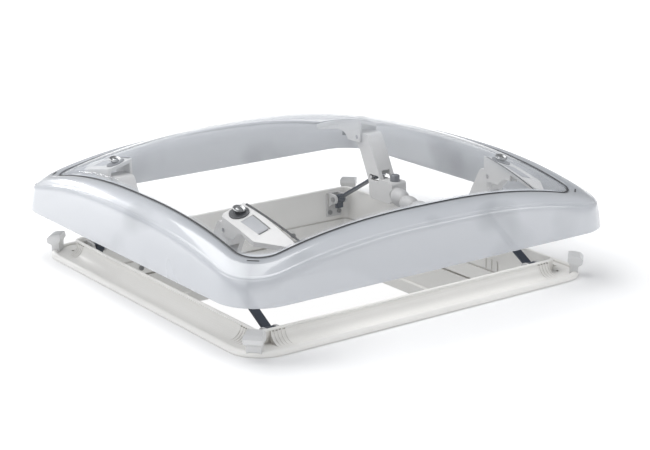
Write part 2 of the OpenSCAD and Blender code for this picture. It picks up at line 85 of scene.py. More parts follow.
class Corner(Enum):
    """The four corners of the vent, each with the signs of its X and Y."""

    FRONT_LEFT = (-1, -1)
    FRONT_RIGHT = (1, -1)
    BACK_LEFT = (-1, 1)
    BACK_RIGHT = (1, 1)

    @property
    def word(self) -> str:
        """The corner's name as the CAD nodes spell it."""
        return self.name.lower()

    def place(self, x: float, y: float, z: float) -> Vector:
        """Carries a point from the +X +Y corner to this one."""
        return Vector((x * self.value[0], y * self.value[1], z))


class Side(Enum):
    """The two sides that carry a grip."""

    LEFT = -1
    RIGHT = 1


# ---- shader groups and finishes ----


def shader_group(name: str, inputs: dict[str, float], outputs: Sequence[str]) -> bpy.types.NodeTree:
    """Starts a shader node group.

    Args:
        name: The group's name.
        inputs: Each float input's name and its usual value.
        outputs: The names of its float outputs.

    Returns:
        The group, with a Coordinates vector input ahead of the floats.
    """
    group = bpy.data.node_groups.new(name, "ShaderNodeTree")
    group.interface.new_socket("Coordinates", in_out="INPUT", socket_type="NodeSocketVector")
    for socket, usual in inputs.items():
        made = group.interface.new_socket(socket, in_out="INPUT", socket_type="NodeSocketFloat")
        made.default_value = usual
    for socket in outputs:
        group.interface.new_socket(socket, in_out="OUTPUT", socket_type="NodeSocketFloat")
    return group


class Wiring:
    """Adds and joins nodes in one tree, shader or geometry."""

    def __init__(self, tree: bpy.types.NodeTree) -> None:
        """Keeps the tree and a column counter for laying nodes out."""
        self.tree = tree
        self.column = 0

    def add(self, kind: str, **settings: object) -> bpy.types.Node:
        """Adds a node.

        Args:
            kind: The node's type name.
            settings: Properties of the node to set.

        Returns:
            The new node.
        """
        node = self.tree.nodes.new(kind)
        node.location = (self.column * 180, 0)
        self.column += 1
        for key, value in settings.items():
            setattr(node, key, value)
        return node

    def join(self, source: bpy.types.NodeSocket, target: bpy.types.NodeSocket) -> None:
        """Links an output to an input."""
        self.tree.links.new(source, target)

    def feed(self, target: bpy.types.NodeSocket, value: object) -> None:
        """Links a socket to an input, or sets the input where the value is plain."""
        if isinstance(value, bpy.types.NodeSocket):
            self.join(value, target)
        else:
            target.default_value = value

    def math(self, operation: str, *values: object) -> bpy.types.NodeSocket:
        """Adds a Math node on one to three values and returns its output."""
        node = self.add("ShaderNodeMath", operation=operation)
        for i, value in enumerate(values):
            self.feed(node.inputs[i], value)
        return node.outputs[0]

    def remap(self, value: object, low: float, high: float) -> bpy.types.NodeSocket:
        """Spreads a value from 0..1 over low..high and returns the output."""
        node = self.add("ShaderNodeMapRange")
        self.feed(node.inputs["Value"], value)
        node.inputs["To Min"].default_value = low
        node.inputs["To Max"].default_value = high
        return node.outputs["Result"]

    def noise(
        self, where: object, scale: object, detail: float = 2.0, roughness: float = 0.5
    ) -> bpy.types.NodeSocket:
        """Adds a Noise texture and returns its Factor output."""
        node = self.add("ShaderNodeTexNoise")
        self.feed(node.inputs["Vector"], where)
        self.feed(node.inputs["Scale"], scale)
        node.inputs["Detail"].default_value = detail
        node.inputs["Roughness"].default_value = roughness
        return node.outputs[0]


def moulded_grain() -> bpy.types.NodeTree:
    """Builds the group for the fine skin of moulded plastic and rubber.

    Returns:
        A group whose Height is the grain, whose Mottle drifts slowly, and whose Wear marks rubbed patches.
    """
    group = shader_group("moulded_grain", {"Grain": 1400.0, "Patch": 16.0}, ["Height", "Mottle", "Wear"])
    w = Wiring(group)
    given, result = w.add("NodeGroupInput"), w.add("NodeGroupOutput")
    where = given.outputs["Coordinates"]
    fine = w.noise(where, given.outputs["Grain"], 3.0, 0.6)
    pits = w.add("ShaderNodeTexVoronoi", feature="SMOOTH_F1")
    w.join(where, pits.inputs["Vector"])
    w.join(given.outputs["Grain"], pits.inputs["Scale"])
    w.join(w.math("ADD", fine, pits.outputs["Distance"]), result.inputs["Height"])
    w.join(w.noise(where, given.outputs["Patch"], 4.0, 0.55), result.inputs["Mottle"])
    rubbed = w.noise(where, w.math("MULTIPLY", given.outputs["Patch"], 5.0), 6.0, 0.7)
    w.join(w.math("GREATER_THAN", rubbed, 0.62), result.inputs["Wear"])
    return group


def drawn_streaks() -> bpy.types.NodeTree:
    """Builds the group for fine drawing or polishing marks.

    Returns:
        A group whose Streaks run along X, and whose Stain drifts slowly.
    """
    group = shader_group("drawn_streaks", {"Fineness": 2600.0, "Patch": 60.0}, ["Streaks", "Stain"])
    w = Wiring(group)
    given, result = w.add("NodeGroupInput"), w.add("NodeGroupOutput")
    stretched = w.add("ShaderNodeMapping")
    stretched.inputs["Scale"].default_value = (0.04, 1.0, 1.0)
    w.join(given.outputs["Coordinates"], stretched.inputs["Vector"])
    w.join(w.noise(stretched.outputs[0], given.outputs["Fineness"], 3.0, 0.6), result.inputs["Streaks"])
    w.join(w.noise(given.outputs["Coordinates"], given.outputs["Patch"], 5.0, 0.6), result.inputs["Stain"])
    return group


def square_band() -> bpy.types.NodeTree:
    """Builds the group for a tone that follows a square outline round the Z axis.

    Returns:
        A group whose Nearness runs from 0 at the Outer half-width to 1 at the Inner one.
    """
    group = shader_group("square_band", {"Outer": 0.24, "Inner": 0.21}, ["Nearness"])
    w = Wiring(group)
    given, result = w.add("NodeGroupInput"), w.add("NodeGroupOutput")
    place = w.add("ShaderNodeSeparateXYZ")
    w.join(given.outputs["Coordinates"], place.inputs[0])
    half = w.math("MAXIMUM", w.math("ABSOLUTE", place.outputs[0]), w.math("ABSOLUTE", place.outputs[1]))
    span = w.add("ShaderNodeMapRange", interpolation_type="SMOOTHSTEP")
    w.join(half, span.inputs["Value"])
    w.join(given.outputs["Inner"], span.inputs["From Min"])
    w.join(given.outputs["Outer"], span.inputs["From Max"])
    w.join(w.math("SUBTRACT", 1.0, span.outputs["Result"]), result.inputs["Nearness"])
    return group


class Groups:
    """The shader groups, each built when it is first asked for."""

    makers: dict[str, Callable[[], bpy.types.NodeTree]] = {
        "grain": moulded_grain, "streaks": drawn_streaks, "square": square_band,
    }
    made: dict[str, bpy.types.NodeTree] = {}

    @classmethod
    def get(cls, name: str) -> bpy.types.NodeTree:
        """Returns the named group."""
        if name not in cls.made:
            cls.made[name] = cls.makers[name]()
        return cls.made[name]


def start_material(name: str) -> tuple[bpy.types.Material, Wiring, bpy.types.Node, bpy.types.Node]:
    """Makes a material with a Principled shader.

    Args:
        name: The material's name.

    Returns:
        The material, its wiring, the shader and a Texture Coordinate node.
    """
    material = bpy.data.materials.new(name)
    material.use_nodes = True
    material.node_tree.nodes.clear()
    w = Wiring(material.node_tree)
    where = w.add("ShaderNodeTexCoord")
    shader = w.add("ShaderNodeBsdfPrincipled")
    out = w.add("ShaderNodeOutputMaterial")
    w.join(shader.outputs[0], out.inputs["Surface"])
    return material, w, shader, where


def mixed(w: Wiring, mask: object, first: object, second: object) -> bpy.types.NodeSocket:
    """Mixes two colours, each plain or a socket, by a mask and returns the colour."""
    node = w.add("ShaderNodeMix", data_type="RGBA")
    w.feed(node.inputs["Factor"], mask)
    colours = [s for s in node.inputs if s.type == "RGBA"]
    for target, colour in zip(colours, (first, second)):
        w.feed(target, colour if isinstance(colour, bpy.types.NodeSocket) else (*colour, 1.0))
    return next(s for s in node.outputs if s.type == "RGBA")


def skin_group(w: Wiring, where: bpy.types.Node, grain: float, patch: float = 16.0) -> bpy.types.Node:
    """Adds the moulded grain, read in the object's own coordinates."""
    skin = w.add("ShaderNodeGroup", node_tree=Groups.get("grain"))
    w.join(where.outputs["Object"], skin.inputs["Coordinates"])
    skin.inputs["Grain"].default_value = grain
    skin.inputs["Patch"].default_value = patch
    return skin


@dataclass(frozen=True)
class Moulded:
    """A moulded plastic or rubber, with its skin, its slow drift of tone, painted shade in its recesses and its
    softened edges.
    """

    name: str
    colour: Colour
    shade: Colour
    roughness: float = 0.4
    spread: float = 0.08
    grain: float = 1400.0
    depth: float = 0.00002
    edge: float = 0.0005
    coat: float = 0.0
    coat_roughness: float = 0.12
    # Painted shade in recesses: its colour, how steeply it gathers, and how far the occlusion looks.
    painted_recess_shade: Colour = (0.36, 0.33, 0.29)
    painted_recess_shade_power: float = 1.2
    reach: float = 0.022

    def make(self) -> bpy.types.Material:
        """Builds the material."""
        material, w, shader, where = start_material(self.name)
        skin = skin_group(w, where, self.grain)
        # Painted shade: the occlusion darkens the base colour towards the painted recess shade where faces crowd
        # together.
        hollow = w.add("ShaderNodeAmbientOcclusion", samples=8, only_local=True)
        hollow.inputs["Distance"].default_value = self.reach
        open_tone = mixed(w, skin.outputs["Mottle"], self.colour, self.shade)
        depth = w.math("POWER", w.math("SUBTRACT", 1.0, hollow.outputs["AO"]), self.painted_recess_shade_power)
        w.join(mixed(w, depth, open_tone, self.painted_recess_shade), shader.inputs["Base Color"])
        rubbed = w.math("MULTIPLY", skin.outputs["Wear"], self.spread * 0.5)
        drift = w.remap(skin.outputs["Mottle"], self.roughness - self.spread, self.roughness + self.spread)
        w.join(w.math("SUBTRACT", drift, rubbed), shader.inputs["Roughness"])
        soft = w.add("ShaderNodeBevel", samples=4)
        soft.inputs["Radius"].default_value = self.edge
        bump = w.add("ShaderNodeBump")
        bump.inputs["Distance"].default_value = self.depth
        w.join(skin.outputs["Height"], bump.inputs["Height"])
        w.join(soft.outputs[0], bump.inputs["Normal"])
        w.join(bump.outputs[0], shader.inputs["Normal"])
        shader.inputs["Coat Weight"].default_value = self.coat
        shader.inputs["Coat Roughness"].default_value = self.coat_roughness
        return material


@dataclass(frozen=True)
class Metal:
    """A drawn or plated metal, with streaks along its length and a faint stain."""

    name: str
    colour: Colour
    stain: Colour
    roughness: float = 0.28
    smoother: float = 0.1
    rougher: float = 0.14
    fineness: float = 2600.0
    depth: float = 0.00001
    metallic: float = 1.0

    def make(self) -> bpy.types.Material:
        """Builds the material."""
        material, w, shader, where = start_material(self.name)
        marks = w.add("ShaderNodeGroup", node_tree=Groups.get("streaks"))
        w.join(where.outputs["Object"], marks.inputs["Coordinates"])
        marks.inputs["Fineness"].default_value = self.fineness
        w.join(mixed(w, marks.outputs["Stain"], self.colour, self.stain), shader.inputs["Base Color"])
        worn = w.remap(marks.outputs["Streaks"], self.roughness - self.smoother, self.roughness + self.rougher)
        w.join(worn, shader.inputs["Roughness"])
        bump = w.add("ShaderNodeBump")
        bump.inputs["Distance"].default_value = self.depth
        w.join(marks.outputs["Streaks"], bump.inputs["Height"])
        w.join(bump.outputs[0], shader.inputs["Normal"])
        shader.inputs["Metallic"].default_value = self.metallic
        return material


@dataclass(frozen=True)
class FrostedAcrylic:
    """The cloudy, part-clear acrylic of the cover's surround, with painted shade next to the pane, in random blotches
    and where it turns away.
    """

    name: str
    colour: Colour
    # Painted shade colour, mixed in next to the pane, in blotches and where the surface turns away.
    painted_shade_colour: Colour
    clear: float = 0.74
    solid: float = 0.95
    shade_band_from: float = 0.236
    shade_band_to: float = 0.2125
    pane_shade_spread: Span = (0.1, 1.2)
    shadow_blotch_scale: float = 9.0
    shadow_blotch_from: float = 0.54
    shadow_blotch: float = 3.4
    glancing_shade_power: float = 8.0
    glancing_shade_share: float = 0.5
    grain: float = 320.0
    patch: float = 5.0
    roughness: Span = (0.24, 0.34)
    coat: float = 0.9
    coat_roughness: float = 0.05

    def make(self) -> bpy.types.Material:
        """Builds the material: cloudier at a glancing angle, with painted shade mixed into its colour and a clear
        glossy skin over it.
        """
        material, w, shader, where = start_material(self.name)
        skin = skin_group(w, where, self.grain, self.patch)
        band = w.add("ShaderNodeGroup", node_tree=Groups.get("square"))
        w.join(where.outputs["Object"], band.inputs["Coordinates"])
        band.inputs["Outer"].default_value = self.shade_band_from
        band.inputs["Inner"].default_value = self.shade_band_to
        glance = w.add("ShaderNodeLayerWeight")
        glance.inputs["Blend"].default_value = 0.3
        # Painted shade: darker next to the pane, fading out along a square band, varied by the mottle.
        shade_near_pane = w.math("MULTIPLY", band.outputs["Nearness"], w.remap(skin.outputs["Mottle"], *self.pane_shade_spread))
        # Painted shadow: random darker blotches stand in for the shadows of the arms seen through the surround.
        drift = w.math("SUBTRACT", w.noise(where.outputs["Object"], self.shadow_blotch_scale), self.shadow_blotch_from)
        shadow_blotch = w.math("MULTIPLY", w.math("MAXIMUM", drift, 0.0), self.shadow_blotch)
        # Painted shade: darker where the surface turns away from the camera.
        glancing_shade = w.math("MULTIPLY", w.math("POWER", glance.outputs["Facing"], self.glancing_shade_power), self.glancing_shade_share)
        # The strongest of the three painted shades sets how far the painted shade colour is mixed in.
        painted_shade_amount = w.math("MAXIMUM", w.math("MAXIMUM", shade_near_pane, shadow_blotch), glancing_shade)
        w.join(mixed(w, painted_shade_amount, self.colour, self.painted_shade_colour), shader.inputs["Base Color"])
        w.join(w.remap(skin.outputs["Mottle"], *self.roughness), shader.inputs["Roughness"])
        w.join(w.remap(glance.outputs["Facing"], self.clear, self.solid), shader.inputs["Alpha"])
        shader.inputs["Coat Weight"].default_value = self.coat
        shader.inputs["Coat Roughness"].default_value = self.coat_roughness
        return material


@dataclass(frozen=True)
class ClearAcrylic:
    """The clear acrylic of the pane, which shows itself only in a painted sheen at a glancing angle and in its
    highlights.
    """

    name: str
    colour: Colour
    shade: Colour
    bare: float = 0.015
    sheen: float = 1.0
    onset: float = 6.5
    grain: float = 500.0
    patch: float = 9.0
    roughness: Span = (0.02, 0.05)
    dust: Span = (0.5, 1.5)

    def make(self) -> bpy.types.Material:
        """Builds the material."""
        material, w, shader, where = start_material(self.name)
        skin = skin_group(w, where, self.grain, self.patch)
        w.join(mixed(w, skin.outputs["Mottle"], self.colour, self.shade), shader.inputs["Base Color"])
        w.join(w.remap(skin.outputs["Mottle"], *self.roughness), shader.inputs["Roughness"])
        glance = w.add("ShaderNodeLayerWeight")
        glance.inputs["Blend"].default_value = 0.5
        # Painted sheen: the light base colour turns opaque at a glancing angle, standing in for the pane's
        # reflection.
        sheen = w.math("MULTIPLY", w.math("POWER", glance.outputs["Facing"], self.onset), self.sheen)
        dusty = w.remap(skin.outputs["Mottle"], *(self.bare * share for share in self.dust))
        w.join(w.math("ADD", dusty, sheen), shader.inputs["Alpha"])
        return material


class Finishes:
    """Every finish of the vent, made once and handed out by name."""

    recipes: dict[str, object] = {
        "frame": Moulded("frame_moulding", (0.90, 0.89, 0.865), (0.84, 0.83, 0.80), 0.34, depth=0.00003, edge=0.0008),
        "ceiling": Moulded("ceiling_moulding", (0.84, 0.83, 0.80), (0.78, 0.77, 0.745), 0.42, edge=0.0008),
        "post": Moulded("post_moulding", (0.74, 0.74, 0.74), (0.67, 0.675, 0.68), 0.34, edge=0.0008),
        "stay": Moulded("stay_moulding", (0.60, 0.595, 0.59), (0.54, 0.54, 0.54), 0.34, coat=0.1, reach=0.01),
        "grip": Moulded("grip_moulding", (0.46, 0.46, 0.46), (0.40, 0.40, 0.405), 0.4, grain=900.0, depth=0.00004),
        "tongue": Moulded("tongue_plate", (0.34, 0.35, 0.37), (0.29, 0.30, 0.32), 0.34, coat=0.3),
        "button": Moulded("button_moulding", (0.16, 0.165, 0.18), (0.11, 0.115, 0.13), 0.35, coat=0.2),
        "rubber": Moulded(
            "black_rubber", (0.022, 0.023, 0.026), (0.035, 0.036, 0.04), 0.55, grain=1800.0, edge=0.0003,
            painted_recess_shade=(0.01, 0.01, 0.01),
        ),
        "link": Metal("slate_link", (0.045, 0.055, 0.075), (0.065, 0.075, 0.095), 0.34, metallic=0.4),
        "pin": Metal("pin_steel", (0.56, 0.56, 0.57), (0.46, 0.46, 0.47), 0.22),
        "screw": Metal("plated_steel", (0.38, 0.39, 0.40), (0.28, 0.28, 0.28), 0.32),
        "spring": Metal("spring_wire", (0.42, 0.42, 0.43), (0.32, 0.32, 0.33), 0.24),
        # Frosted: its own tint, then the painted shade colour.
        "frosted": FrostedAcrylic("frosted_acrylic", (0.57, 0.59, 0.625), (0.24, 0.255, 0.28)),
        "clear": ClearAcrylic("clear_acrylic", (0.58, 0.61, 0.66), (0.66, 0.69, 0.73)),
    }

    def __init__(self) -> None:
        """Starts with nothing made."""
        self.made: dict[str, bpy.types.Material] = {}

    def get(self, name: str) -> bpy.types.Material:
        """Returns the named finish's material, building it at first use."""
        if name not in self.made:
            self.made[name] = self.recipes[name].make()
        return self.made[name]


# ---- meshes ----


def ring_mesh(rings: Sequence[Ring], closed: bool, poles: Sequence[Point] = ()) -> bmesh.types.BMesh:
    """Skins rings that all have the same number of points.

    Args:
        rings: The rings in order.
        closed: Whether the last ring joins the first.
        poles: Points that close the first and the last ring, or nothing.

    Returns:
        The mesh, with its faces outwards.
    """
    bm = bmesh.new()
    rows = [[bm.verts.new(p) for p in ring] for ring in rings]
    count = len(rows[0])
    pairs = list(zip(rows, rows[1:] + rows[:1])) if closed else list(zip(rows, rows[1:]))
    for low, high in pairs:
        for j in range(count):
            k = (j + 1) % count
            bm.faces.new((low[j], low[k], high[k], high[j]))
    for pole, row in zip(poles, (rows[0], rows[-1])):
        tip = bm.verts.new(pole)
        for j in range(count):
            bm.faces.new((row[j], row[(j + 1) % count], tip))
    bmesh.ops.recalc_face_normals(bm, faces=bm.faces)
    return bm


def finished(name: str, bm: bmesh.types.BMesh, material: bpy.types.Material, smooth: bool = True) -> bpy.types.Object:
    """Turns a bmesh into an object in the scene.

    Args:
        name: The object's name.
        bm: The mesh, which is freed.
        material: Its material.
        smooth: Whether its faces are shaded smooth.

    Returns:
        The object, at the origin.
    """
    mesh = bpy.data.meshes.new(name)
    bm.to_mesh(mesh)
    bm.free()
    mesh.polygons.foreach_set("use_smooth", [smooth] * len(mesh.polygons))
    mesh.materials.append(material)
    obj = bpy.data.objects.new(name, mesh)
    bpy.context.scene.collection.objects.link(obj)
    return obj


def softened(node: str, name: str, material: bpy.types.Material, radius: float) -> bpy.types.Object:
    """Copies a CAD node with its edges rounded.

    Args:
        node: The CAD node.
        name: The new object's name.
        material: Its material.
        radius: How far the rounding reaches from an edge, in metres.

    Returns:
        The object, which rides on nothing yet.
    """
    bm = bmesh.new()
    bm.from_mesh(frame["nodes"][node].data)
    bmesh.ops.remove_doubles(bm, verts=bm.verts, dist=WELD)
    bmesh.ops.dissolve_limit(bm, angle_limit=FLAT_ANGLE, verts=bm.verts, edges=bm.edges)
    obj = finished(name, bm, material)
    obj.data.set_sharp_from_angle(angle=EDGE_ANGLE)
    bevel = obj.modifiers.new("rounded_edges", "BEVEL")
    bevel.width = radius
    bevel.segments = 3
    bevel.limit_method = "ANGLE"
    bevel.angle_limit = EDGE_ANGLE
    bevel.use_clamp_overlap = True
    bevel.harden_normals = True
    return obj


def lathed(profile: Sequence[tuple[float, float]], steps: int = 40) -> bmesh.types.BMesh:
    """Turns a profile of (radius, height) points about Z, closing both ends on the axis."""
    rings = [
        [(r * math.cos(math.tau * j / steps), r * math.sin(math.tau * j / steps), z) for j in range(steps)]
        for r, z in profile[1:-1]
    ]
    return ring_mesh(rings, False, ((0.0, 0.0, profile[0][1]), (0.0, 0.0, profile[-1][1])))


def settle(piece: bpy.types.Object, body: str, slot: str, *nodes: str) -> bpy.types.Object:
    """Gives a finished piece its body and hides the CAD nodes that it stands for.

    Args:
        piece: The piece, at the origin.
        body: The CAD body that it rides on.
        slot: Not used.
        nodes: CAD nodes that it replaces.

    Returns:
        The piece.
    """
    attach(piece, body)
    if nodes:
        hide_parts(*nodes)
    log.info("%s rides on %s", piece.name, body)
    return piece


def dress(node: str, material: bpy.types.Material) -> None:
    """Gives a CAD node that stays in view its finish."""
    obj = frame["nodes"][node]
    obj.data.materials.clear()
    obj.data.materials.append(material)
    log.info("%s keeps its shape, in %s", node, material.name)


class GeometryTree(Wiring):
    """A Geometry Nodes tree under construction, and the plain meshes that it gives."""

    def __init__(self, name: str) -> None:
        """Starts a tree with a Finish input and a Geometry output."""
        super().__init__(bpy.data.node_groups.new(name, "GeometryNodeTree"))
        self.finish_id = self.socket("Finish", "NodeSocketMaterial").identifier
        self.tree.interface.new_socket("Geometry", in_out="OUTPUT", socket_type="NodeSocketGeometry")
        self.given = self.add("NodeGroupInput")
        self.result = self.add("NodeGroupOutput")
        self.ids: dict[str, str] = {}

    def socket(self, name: str, kind: str) -> bpy.types.NodeTreeInterfaceSocket:
        """Adds an input socket to the tree's interface."""
        return self.tree.interface.new_socket(name, in_out="INPUT", socket_type=kind)

    def size(self, name: str, kind: str = "NodeSocketFloat") -> bpy.types.NodeSocket:
        """Adds a named input.

        Args:
            name: The input's name.
            kind: Its socket type.

        Returns:
            The input as a socket inside the tree.
        """
        self.ids[name] = self.socket(name, kind).identifier
        return self.given.outputs[name]

    def end(self, geometry: bpy.types.NodeSocket) -> None:
        """Ends the tree in Realize Instances and Set Material."""
        real = self.add("GeometryNodeRealizeInstances")
        painted = self.add("GeometryNodeSetMaterial")
        self.join(geometry, real.inputs[0])
        self.join(real.outputs[0], painted.inputs["Geometry"])
        self.join(self.given.outputs["Finish"], painted.inputs["Material"])
        self.join(painted.outputs[0], self.result.inputs[0])

    def grow(self, name: str, material: bpy.types.Material, **sizes: object) -> bpy.types.Object:
        """Runs the tree once.

        Args:
            name: The new object's name.
            material: Its material.
            sizes: A value for each named input, with underscores for spaces.

        Returns:
            The result as a plain mesh object at the origin.
        """
        seed = bpy.data.objects.new(name + "_seed", bpy.data.meshes.new(name + "_seed"))
        bpy.context.scene.collection.objects.link(seed)
        modifier = seed.modifiers.new("grow", "NODES")
        modifier.node_group = self.tree
        modifier[self.finish_id] = material
        for key, value in sizes.items():
            modifier[self.ids[key.replace("_", " ")]] = value
        bpy.context.view_layer.update()
        grown = seed.evaluated_get(bpy.context.evaluated_depsgraph_get())
        mesh = bpy.data.meshes.new_from_object(grown)
        bpy.data.objects.remove(seed)
        mesh.name = name
        mesh.polygons.foreach_set("use_smooth", [True] * len(mesh.polygons))
        mesh.set_sharp_from_angle(angle=GROWN_ANGLE)
        obj = bpy.data.objects.new(name, mesh)
        bpy.context.scene.collection.objects.link(obj)
        return obj


# ---- the cover ----


@dataclass
class CoverShape:
    """The rule that the cover's surface follows, in metres, with the cover raised."""

    half: float = field(default_factory=lambda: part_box("dome_surround")[1].x)
    rim: float = field(default_factory=lambda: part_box("dome_surround")[0].z)
    top: float = field(default_factory=lambda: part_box("dome_pane")[1].z)
    seal_out: float = field(default_factory=lambda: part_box("pane_seal")[1].x)
    fall: float = 55.5 * MM
    power: float = 2.27
    corner_lift: float = 25.8 * MM
    band_rise: float = 3.6 * MM
    rim_radius: float = 46 * MM
    window_radius: float = 33 * MM
    shoulder_in: float = 5 * MM
    seal_width: float = 2.4 * MM
    wall: float = 3.0 * MM

    @property
    def shoulder(self) -> float:
        """Half the width across the shoulder."""
        return self.half - self.shoulder_in

    @property
    def shoulder_radius(self) -> float:
        """Plan radius of the shoulder's corners."""
        return self.rim_radius - self.shoulder_in + 3 * MM

    def height(self, x: float, y: float) -> float:
        """Height of the outer surface over a point."""
        u, v = abs(x) / self.half, abs(y) / self.half
        return self.top - self.fall * (u**self.power + v**self.power) + self.corner_lift * (u * v) ** 2

    def outline(self, half: float, radius: float, arc: int = 14, side: int = 30) -> list[tuple[float, float]]:
        """Points round a rounded square, with the same count whatever its size."""
        quarter = [
            (half - radius + radius * math.cos(a), half - radius + radius * math.sin(a))
            for a in (math.pi / 2 * j / arc for j in range(arc + 1))
        ]
        quarter += [((half - radius) * (1 - 2 * j / side), half) for j in range(1, side)]
        points = []
        for _ in range(4):
            points += quarter
            quarter = [(-y, x) for x, y in quarter]
        return points

    def on_crown(self, half: float, radius: float, drop: float = 0.0) -> Ring:
        """A ring on the crown, lowered by drop."""
        return [(x, y, self.height(x, y) - drop) for x, y in self.outline(half, radius)]

    def on_side(self, out: float, share: float, inward: float = 0.0, drop: float = 0.0) -> Ring:
        """A ring on the side wall.

        Args:
            out: How far out from the shoulder it lies.
            share: How far down it is, from 0 at the shoulder to 1 at the rim.
            inward: How far it is moved in, for the inner face.
            drop: How far it is lowered.

        Returns:
            The ring.
        """
        wall = self.outline(self.shoulder + out - inward, self.shoulder_radius + 0.65 * out - inward)
        edge = self.outline(self.shoulder, self.shoulder_radius)
        return [
            (x, y, (1 - share) * self.height(ex, ey) + share * self.rim - drop)
            for (x, y), (ex, ey) in zip(wall, edge)
        ]


@dataclass
class Cover:
    """The domed cover: frosted surround, clear pane and the dark seal between them."""

    shape: CoverShape
    finishes: Finishes
    body: str = "dome"
    shoulder_lip: float = 0.7 * MM
    side_bend: float = 0.45
    side_rings: int = 14

    def surround(self) -> bpy.types.Object:
        """Skins the surround: crown band, lip at the shoulder, rolled side, rounded rim and inner face."""
        s = self.shape
        edge, reach = s.seal_out, s.shoulder - s.seal_out

        def band(share: float, drop: float) -> Ring:
            """A ring on the swollen band, from 0 at the seal to 1 at the shoulder."""
            radius = s.window_radius + share * (s.shoulder_radius - s.window_radius)
            return s.on_crown(edge + share * reach, radius, drop - s.band_rise * math.sin(math.pi * share))

        def side(share: float, inward: float, drop: float = 0.0) -> Ring:
            """A ring on the rolled side, from 0 at the shoulder to 1 at the rim."""
            return s.on_side(s.shoulder_in * share**self.side_bend, share, inward, drop)

        shares = [(k / self.side_rings) ** 1.7 for k in range(1, self.side_rings + 1)]
        outer = [band(f / 8, 0.0) for f in range(8)]
        outer += [band(0.93, 0.0), band(0.955, -self.shoulder_lip), band(0.985, -self.shoulder_lip), band(1.0, 0.0)]
        outer += [side(f, 0.0) for f in shares[:-1]]
        outer += [side(1.0, 0.0, -0.8 * MM), side(1.0, 0.4 * MM, -0.15 * MM), side(1.0, 1.0 * MM)]
        inner = [side(1.0, s.wall - 0.6 * MM), side(1.0, s.wall, -0.6 * MM)]
        inner += [side(f, s.wall, s.wall * (1 - f)) for f in reversed(shares[:-1])]
        inner += [band(f / 8, s.wall) for f in range(7, -1, -1)]
        bm = ring_mesh(outer + inner, True)
        piece = finished("frosted_surround", bm, self.finishes.get("frosted"))
        return settle(piece, self.body, "dome_frosted", "dome_surround")

    def pane(self) -> bpy.types.Object:
        """Skins the clear pane from its middle out to the seal."""
        s = self.shape
        half, radius = s.seal_out - s.seal_width, s.window_radius - s.seal_width
        steps = [k / 18 for k in range(1, 19)]
        top = [s.on_crown(half * f, radius * f) for f in steps]
        bottom = [s.on_crown(half * f, radius * f, s.wall) for f in reversed(steps)]
        middle = s.height(0.0, 0.0)
        bm = ring_mesh(top + bottom, False, ((0.0, 0.0, middle), (0.0, 0.0, middle - s.wall)))
        piece = finished("clear_pane", bm, self.finishes.get("clear"))
        return settle(piece, self.body, "dome_clear", "dome_pane")

    def seal_tree(self) -> GeometryTree:
        """Builds the tree that lays a bead round the pane on the crown."""
        t = GeometryTree("pane_bead")
        half, radius = t.size("Half"), t.size("Radius")
        top, fall, power = t.size("Top"), t.size("Fall"), t.size("Power")
        lift, reach, bead = t.size("Lift"), t.size("Reach"), t.size("Bead")
        square = t.add("GeometryNodeCurvePrimitiveQuadrilateral")
        across = t.math("MULTIPLY", half, 2.0)
        t.join(across, square.inputs["Width"])
        t.join(across, square.inputs["Height"])
        rounded = t.add("GeometryNodeFilletCurve")
        t.join(square.outputs[0], rounded.inputs["Curve"])
        t.join(radius, rounded.inputs["Radius"])
        self.set_menu(rounded, "POLY")
        rounded.inputs["Count"].default_value = 16
        even = t.add("GeometryNodeResampleCurve")
        t.join(rounded.outputs[0], even.inputs["Curve"])
        even.inputs["Count"].default_value = 360
        place = t.add("ShaderNodeSeparateXYZ")
        t.join(t.add("GeometryNodeInputPosition").outputs[0], place.inputs[0])
        u = t.math("DIVIDE", t.math("ABSOLUTE", place.outputs[0]), reach)
        v = t.math("DIVIDE", t.math("ABSOLUTE", place.outputs[1]), reach)
        drop = t.math("MULTIPLY", t.math("ADD", t.math("POWER", u, power), t.math("POWER", v, power)), fall)
        rise = t.math("MULTIPLY", t.math("POWER", t.math("MULTIPLY", u, v), 2.0), lift)
        up = t.add("ShaderNodeCombineXYZ")
        t.join(t.math("ADD", t.math("SUBTRACT", top, drop), rise), up.inputs[2])
        laid = t.add("GeometryNodeSetPosition")
        t.join(even.outputs[0], laid.inputs["Geometry"])
        t.join(up.outputs[0], laid.inputs["Offset"])
        section = t.add("GeometryNodeCurvePrimitiveCircle")
        section.inputs["Resolution"].default_value = 10
        t.join(bead, section.inputs["Radius"])
        skin = t.add("GeometryNodeCurveToMesh")
        t.join(laid.outputs[0], skin.inputs["Curve"])
        t.join(section.outputs[0], skin.inputs["Profile Curve"])
        t.end(skin.outputs[0])
        return t

    @staticmethod
    def set_menu(node: bpy.types.Node, choice: str) -> None:
        """Sets a node's mode, whether this Blender keeps it as a property or a menu input."""
        if hasattr(node, "mode"):
            node.mode = choice
        else:
            node.inputs["Mode"].default_value = choice.title()

    def seal(self) -> bpy.types.Object:
        """Grows the seal's bead between surround and pane."""
        s = self.shape
        piece = self.seal_tree().grow(
            "seal_bead", self.finishes.get("rubber"),
            Half=s.seal_out - s.seal_width / 2, Radius=s.window_radius - s.seal_width / 2,
            Top=s.top - s.wall * 0.36, Fall=s.fall, Power=s.power, Lift=s.corner_lift,
            Reach=s.half, Bead=s.seal_width * 0.56,
        )
        return settle(piece, self.body, "seal_rubber", "pane_seal")

    def build(self) -> None:
        """Builds the cover."""
        self.surround()
        self.pane()
        self.seal()


